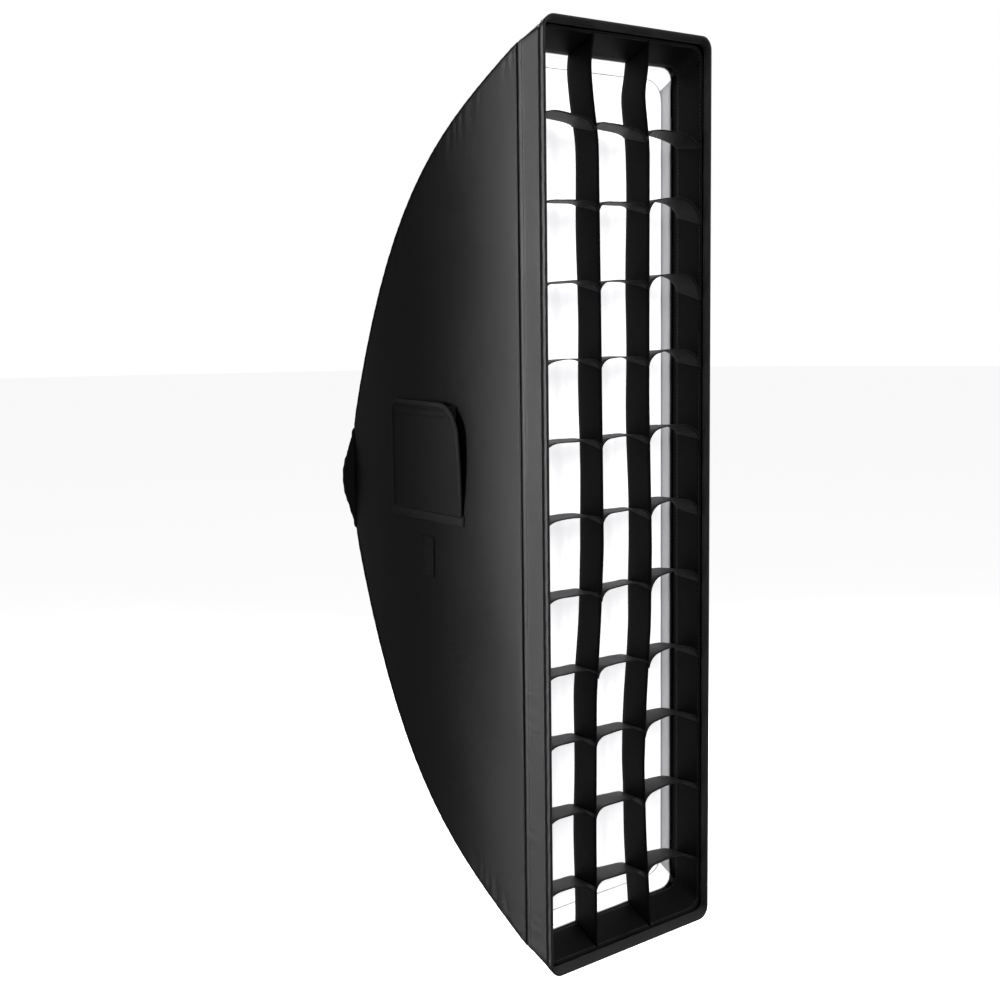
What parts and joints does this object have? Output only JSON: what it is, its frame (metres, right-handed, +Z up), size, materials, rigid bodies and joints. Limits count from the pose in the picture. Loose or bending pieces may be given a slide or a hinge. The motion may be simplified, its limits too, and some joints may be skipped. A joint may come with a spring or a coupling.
{
  "type": "strip softbox",
  "caption": "Tall narrow softbox: black fabric shell bowed by rods on a bayonet speedring, white recessed diffuser, fabric egg-crate grid.",
  "frame": {"origin": "centre of the mount insert's seating face, on the axis of its bore", "axes": "+Z up along the long side, +Y towards the flash head, -Y the way the light leaves, +X to the right seen along +Y"},
  "size_m": [0.3, 0.541, 1.2],
  "materials": {
    "black_fabric": "coated nylon, matt black outside and silver inside",
    "webbing": "woven black tape",
    "hook_and_loop": "black hook-and-loop tape",
    "white_diffuser": "thin translucent white nylon",
    "grid_fabric": "stiff matt black fabric",
    "ring_paint": "satin black powder coat",
    "insert_metal": "turned, satin",
    "screw_steel": "zinc plated",
    "rod_steel": "spring steel rod",
    "black_plastic": "moulded, fine grain"
  },
  "bodies": {
    "mount": {"mount_insert": "insert_metal"},
    "box": {"baffle_tabs": "webbing", "bottom_panel": "black_fabric", "collar_elastic": "webbing", "corner_piping_lower_left": "webbing", "corner_piping_lower_right": "webbing", "corner_piping_upper_left": "webbing", "corner_piping_upper_right": "webbing", "diffuser_loop_tape": "hook_and_loop", "flap_hem": "webbing", "flap_loop_tape": "hook_and_loop", "front_lip": "black_fabric", "grid_loop_tape": "hook_and_loop", "inner_baffle": "white_diffuser", "keeper_strap": "webbing", "rear_collar": "black_fabric", "retaining_ring": "ring_paint", "retaining_screws": "screw_steel", "rim_binding": "webbing", "rod_cap_lower_left": "black_plastic", "rod_cap_lower_right": "black_plastic", "rod_cap_upper_left": "black_plastic", "rod_cap_upper_right": "black_plastic", "rod_lower_left": "rod_steel", "rod_lower_right": "rod_steel", "rod_pocket_lower_left": "webbing", "rod_pocket_lower_right": "webbing", "rod_pocket_upper_left": "webbing", "rod_pocket_upper_right": "webbing", "rod_upper_left": "rod_steel", "rod_upper_right": "rod_steel", "side_panel_left": "black_fabric", "side_panel_right": "black_fabric", "speedring": "ring_paint", "top_panel": "black_fabric"},
    "lock_knob_body": {"lock_knob": "black_plastic", "lock_screw": "screw_steel"},
    "flap": {"access_flap": "black_fabric", "flap_hook_tape": "hook_and_loop"},
    "diffuser": {"front_diffuser": "white_diffuser", "diffuser_hook_tape": "hook_and_loop"},
    "grid": {"grid_band": "grid_fabric", "grid_hook_tape": "hook_and_loop", "grid_vertical_1": "grid_fabric", "grid_vertical_2": "grid_fabric", "grid_horizontal_01": "grid_fabric", "grid_horizontal_02": "grid_fabric", "grid_horizontal_03": "grid_fabric", "grid_horizontal_04": "grid_fabric", "grid_horizontal_05": "grid_fabric", "grid_horizontal_06": "grid_fabric", "grid_horizontal_07": "grid_fabric", "grid_horizontal_08": "grid_fabric", "grid_horizontal_09": "grid_fabric", "grid_horizontal_10": "grid_fabric", "grid_horizontal_11": "grid_fabric"}
  },
  "joints": [
    {"name": "ring_turn", "type": "hinge", "parent": "mount", "child": "box", "pos_m": [0, 0, 0], "axis": [0, 1, 0], "continuous": true},
    {"name": "lock_turn", "type": "hinge", "parent": "box", "child": "lock_knob_body", "pos_m": [0.076, -0.005, 0], "axis": [1, 0, 0], "continuous": true},
    {"name": "flap_swing", "type": "hinge", "parent": "box", "child": "flap", "pos_m": [-0.12968, -0.2576, -0.022], "axis": [-0.1339, -0.991, 0], "range_deg": [0, 150]},
    {"name": "diffuser_pull", "type": "slide", "parent": "box", "child": "diffuser", "axis": [0, -1, 0], "range_m": [0, 0.12]},
    {"name": "grid_pull", "type": "slide", "parent": "diffuser", "child": "grid", "axis": [0, -1, 0], "range_m": [0, 0.09]}
  ]
}
